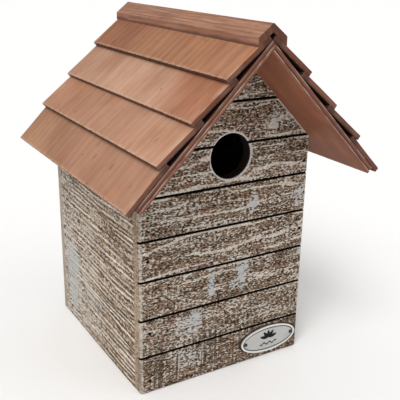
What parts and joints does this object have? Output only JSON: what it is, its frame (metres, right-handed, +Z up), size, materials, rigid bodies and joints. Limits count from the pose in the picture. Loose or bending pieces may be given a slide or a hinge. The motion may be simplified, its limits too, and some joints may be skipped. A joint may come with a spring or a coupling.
{
  "type": "bird nest box",
  "caption": "Gabled wooden nest box with a grooved, whitewashed front, round entrance hole, overhanging shingled roof, ridge cap and a hinged cleaning door in the back.",
  "frame": {"origin": "middle of the underside of the floor board, which the box stands on", "axes": "+Z up, -Y out of the front with the entrance hole, +X to the right seen from the front"},
  "size_m": [0.1948, 0.2002, 0.2579],
  "materials": {
    "whitewashed_pine": "brown stain under a brushed, worn whitewash",
    "bare_pine": "bare, planed",
    "roof_plywood": "smooth reddish brown stain",
    "roof_shingle": "reddish tan stain, satin",
    "ridge_moulding": "reddish tan stain, satin",
    "nail_steel": "dark, slightly rusted",
    "zinc_hardware": "zinc plated, dull",
    "zinc_screws": "zinc plated",
    "plaque_enamel": "pale glossy enamel"
  },
  "bodies": {
    "box": {"front_board": "whitewashed_pine", "back_board": "whitewashed_pine", "left_side_board": "whitewashed_pine", "right_side_board": "whitewashed_pine", "floor_board": "bare_pine", "left_roof_deck": "roof_plywood", "right_roof_deck": "roof_plywood", "left_shingle_1": "roof_shingle", "left_shingle_2": "roof_shingle", "left_shingle_3": "roof_shingle", "left_shingle_4": "roof_shingle", "right_shingle_1": "roof_shingle", "right_shingle_2": "roof_shingle", "right_shingle_3": "roof_shingle", "right_shingle_4": "roof_shingle", "ridge_cap": "ridge_moulding", "front_nails": "nail_steel", "back_nails": "nail_steel", "floor_nails": "nail_steel", "deck_nails": "nail_steel", "shingle_brads": "nail_steel", "lower_hinge_frame_leaf": "zinc_hardware", "lower_hinge_pin": "zinc_hardware", "upper_hinge_frame_leaf": "zinc_hardware", "upper_hinge_pin": "zinc_hardware", "hanger_plate": "zinc_hardware", "turn_button_washer": "zinc_hardware", "hinge_frame_screws": "zinc_screws", "hanger_screws": "zinc_screws", "turn_button_screw": "zinc_screws", "plaque_pins": "zinc_screws", "plaque": "plaque_enamel"},
    "door": {"cleaning_door": "whitewashed_pine", "lower_hinge_door_leaf": "zinc_hardware", "upper_hinge_door_leaf": "zinc_hardware", "hinge_door_screws": "zinc_screws"},
    "turn_button": {"turn_button": "zinc_hardware"}
  },
  "joints": [
    {"name": "door_swing", "type": "hinge", "parent": "box", "child": "door", "pos_m": [-0.0444, 0.0787, 0.059], "axis": [0, 0, 1], "range_deg": [0, 175]},
    {"name": "turn_button_spin", "type": "hinge", "parent": "box", "child": "turn_button", "pos_m": [0.063, 0.07835, 0.04], "axis": [0, 1, 0], "continuous": true}
  ]
}
